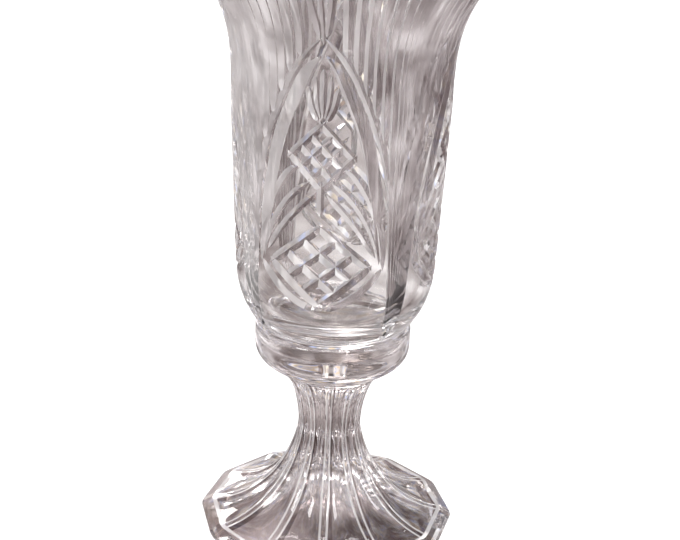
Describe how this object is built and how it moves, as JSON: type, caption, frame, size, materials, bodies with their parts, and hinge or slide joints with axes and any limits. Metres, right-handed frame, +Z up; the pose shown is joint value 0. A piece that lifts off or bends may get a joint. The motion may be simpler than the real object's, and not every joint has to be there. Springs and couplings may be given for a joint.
{
  "type": "footed vase",
  "caption": "Footed cut crystal vase: a flared, deeply cut glass body that stands in, and lifts out of, the cup of a fluted pedestal with a many-sided foot.",
  "frame": {"origin": "centre of the foot's resting face, on the table", "axes": "+Z up the axis from the foot to the rim, a rib of the foot towards -Y"},
  "size_m": [0.1358, 0.1358, 0.28],
  "materials": {
    "body_crystal": "polished clear lead crystal with deep mitre cuts",
    "pedestal_crystal": "polished clear lead crystal, fluted"
  },
  "bodies": {
    "pedestal": {"pedestal_cup": "pedestal_crystal", "pedestal_foot": "pedestal_crystal"},
    "vase": {"vase_body": "body_crystal"}
  },
  "joints": [
    {"name": "vase_lift", "type": "slide", "parent": "pedestal", "child": "vase", "axis": [0, 0, 1], "range_m": [0, 0.06]}
  ]
}
